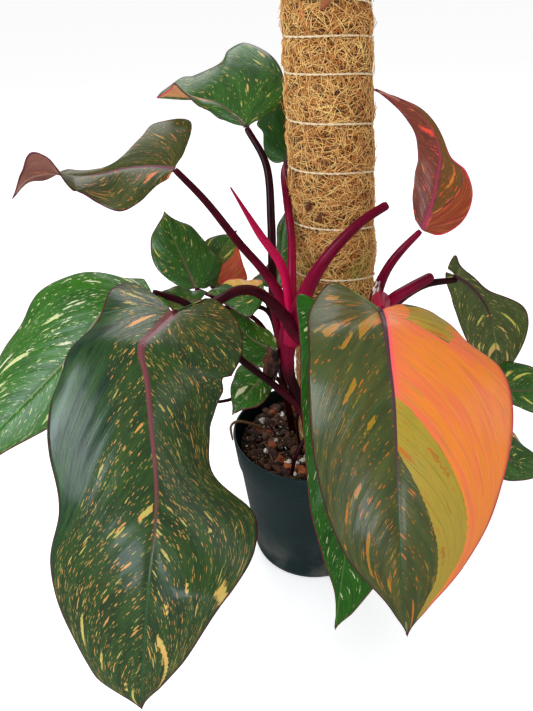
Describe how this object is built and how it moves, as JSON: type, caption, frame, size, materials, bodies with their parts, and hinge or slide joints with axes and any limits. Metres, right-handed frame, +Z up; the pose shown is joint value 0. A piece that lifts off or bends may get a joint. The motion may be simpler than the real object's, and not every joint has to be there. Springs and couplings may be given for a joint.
{
  "type": "potted climbing philodendron",
  "caption": "Young climbing philodendron with orange variegated leaves on dark red petioles, in a tapered plastic nursery pot with a leaning coir pole that the stems climb.",
  "frame": {"origin": "middle of the pot's flat base, at floor level", "axes": "+Z up along the pot's axis; -Y towards the viewer's side, where the largest leaves hang; +X to the viewer's right"},
  "size_m": [0.412, 0.3304, 0.4352],
  "materials": {
    "pot": "satin, dark teal grey",
    "soil": "loose bark and coir chunks with clay and pumice grains, matt",
    "stake": "plain, matt",
    "coir": "felted coconut fibre, hairy, matt",
    "twine": "thin pale twine, matt",
    "stem_crimson": "living petioles, waxy, satin to glossy",
    "stem_dark": "living petioles, waxy, satin",
    "dry_sheath": "papery, dried, torn, matt",
    "root": "dry aerial root, matt",
    "leaf_green": "living leaf, waxy, satin, cream and orange flecks",
    "leaf_bright": "living leaf, waxy, satin, cream flecks",
    "leaf_olive": "living leaf, waxy, satin, orange flecks",
    "leaf_orange": "living leaf, waxy, satin, orange and green patches",
    "leaf_red": "new living leaf, glossy, red brown",
    "leaf_yellow": "living leaf, waxy, satin, yellow and green"
  },
  "bodies": {
    "root": {"pot": "pot", "soil": "soil", "pole_stake": "stake", "coir_sleeve": "coir", "twine": "twine", "left_plant_stems": "stem_crimson", "right_plant_stems": "stem_crimson", "young_plant_stems": "stem_dark", "dry_sheath_left": "dry_sheath", "dry_sheath_right": "dry_sheath", "root_over_rim": "root", "leaf_front_left": "leaf_green", "leaf_front_orange": "leaf_orange", "leaf_front_green": "leaf_bright", "leaf_far_left": "leaf_bright", "leaf_upper_left": "leaf_olive", "leaf_top_left": "leaf_green", "leaf_behind_pole": "leaf_green", "leaf_small_green": "leaf_green", "leaf_small_coral": "leaf_orange", "leaf_small_yellow": "leaf_yellow", "leaf_small_back": "leaf_bright", "leaf_small_left": "leaf_yellow", "leaf_small_middle": "leaf_bright", "leaf_small_rim": "leaf_bright", "leaf_new_red": "leaf_red", "leaf_right_turned": "leaf_olive", "leaf_right_middle": "leaf_green", "leaf_right_low": "leaf_green"}
  },
  "joints": []
}
